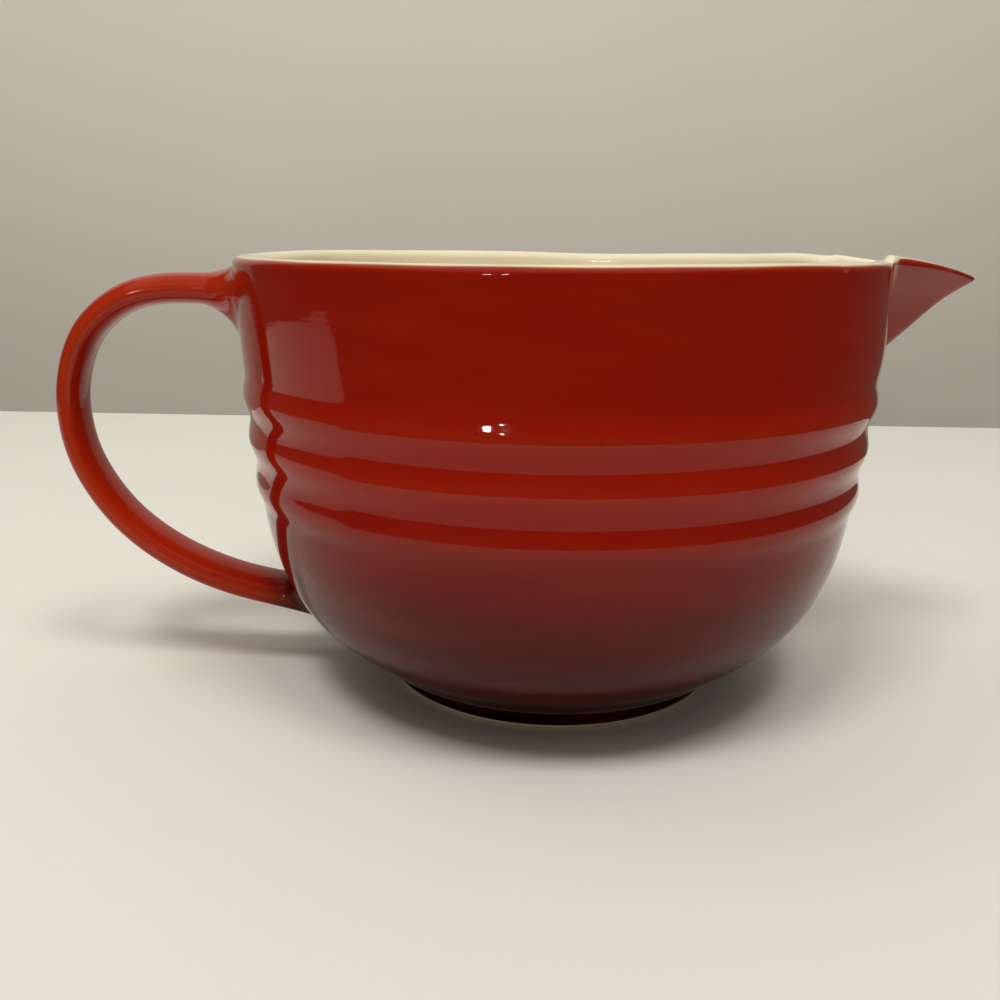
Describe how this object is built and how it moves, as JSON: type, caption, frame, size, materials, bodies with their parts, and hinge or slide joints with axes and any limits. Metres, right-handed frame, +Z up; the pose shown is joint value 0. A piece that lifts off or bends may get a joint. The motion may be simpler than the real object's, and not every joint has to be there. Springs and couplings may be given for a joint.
{
  "type": "batter bowl",
  "caption": "Deep round glazed stoneware batter bowl with a loop strap handle, a V-shaped pouring spout, turned ribs round the wall and a low foot ring.",
  "frame": {"origin": "centre of the foot ring, on the surface it stands on", "axes": "+Z up along the bowl's axis, +X towards the pouring spout, the handle is at -X"},
  "size_m": [0.2804, 0.19, 0.1312],
  "materials": {
    "stoneware": "matt",
    "red_glaze": "gloss",
    "cream_glaze": "gloss",
    "dark_glaze": "satin"
  },
  "bodies": {
    "root": {"bowl_body": "stoneware", "foot_ring": "stoneware", "pouring_spout": "stoneware", "handle_strap": "stoneware", "upper_handle_root": "stoneware", "lower_handle_root": "stoneware", "exterior_glaze": "red_glaze", "interior_glaze": "cream_glaze", "spout_glaze": "red_glaze", "spout_liner_glaze": "cream_glaze", "handle_glaze": "red_glaze", "underside_glaze": "dark_glaze"}
  },
  "joints": []
}
